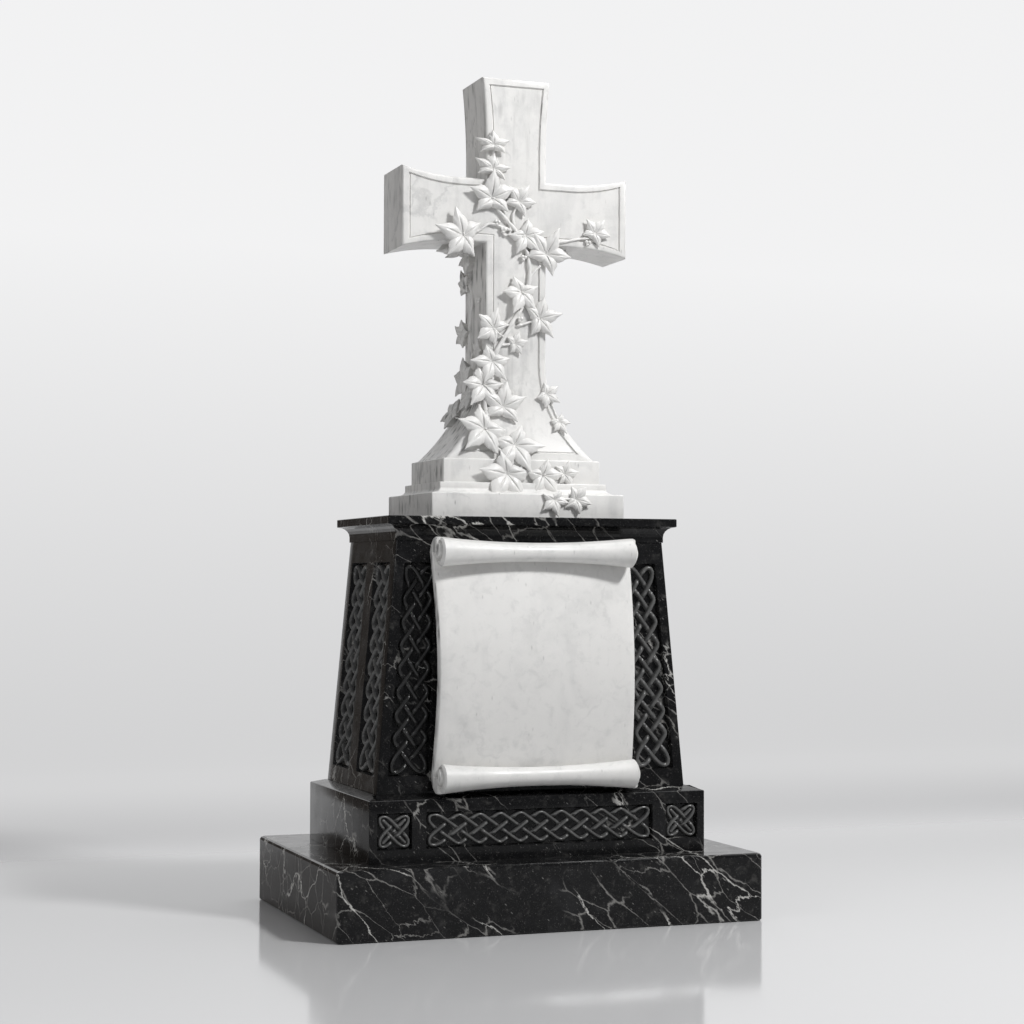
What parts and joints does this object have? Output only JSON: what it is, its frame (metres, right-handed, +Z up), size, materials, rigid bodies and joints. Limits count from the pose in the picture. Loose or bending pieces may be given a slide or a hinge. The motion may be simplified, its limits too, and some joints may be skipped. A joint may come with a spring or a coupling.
{
  "type": "cross headstone",
  "caption": "White marble cross with carved ivy on a stepped foot, on a black marble pedestal with knotwork panels and a blank white scroll.",
  "frame": {"origin": "middle of the underside of the ground slab", "axes": "+Z up the headstone, +X to the right and -Y towards the viewer, as the front is seen"},
  "size_m": [1.07, 0.75, 2.0732],
  "materials": {
    "black_marble": "polished black marble with fine white veins",
    "white_marble": "honed white marble with pale grey clouds"
  },
  "bodies": {
    "root": {"base_slab": "black_marble", "plinth_step": "black_marble", "die": "black_marble", "cornice_cap": "black_marble", "scroll_tablet": "white_marble", "ivy_cross": "white_marble"}
  },
  "joints": []
}
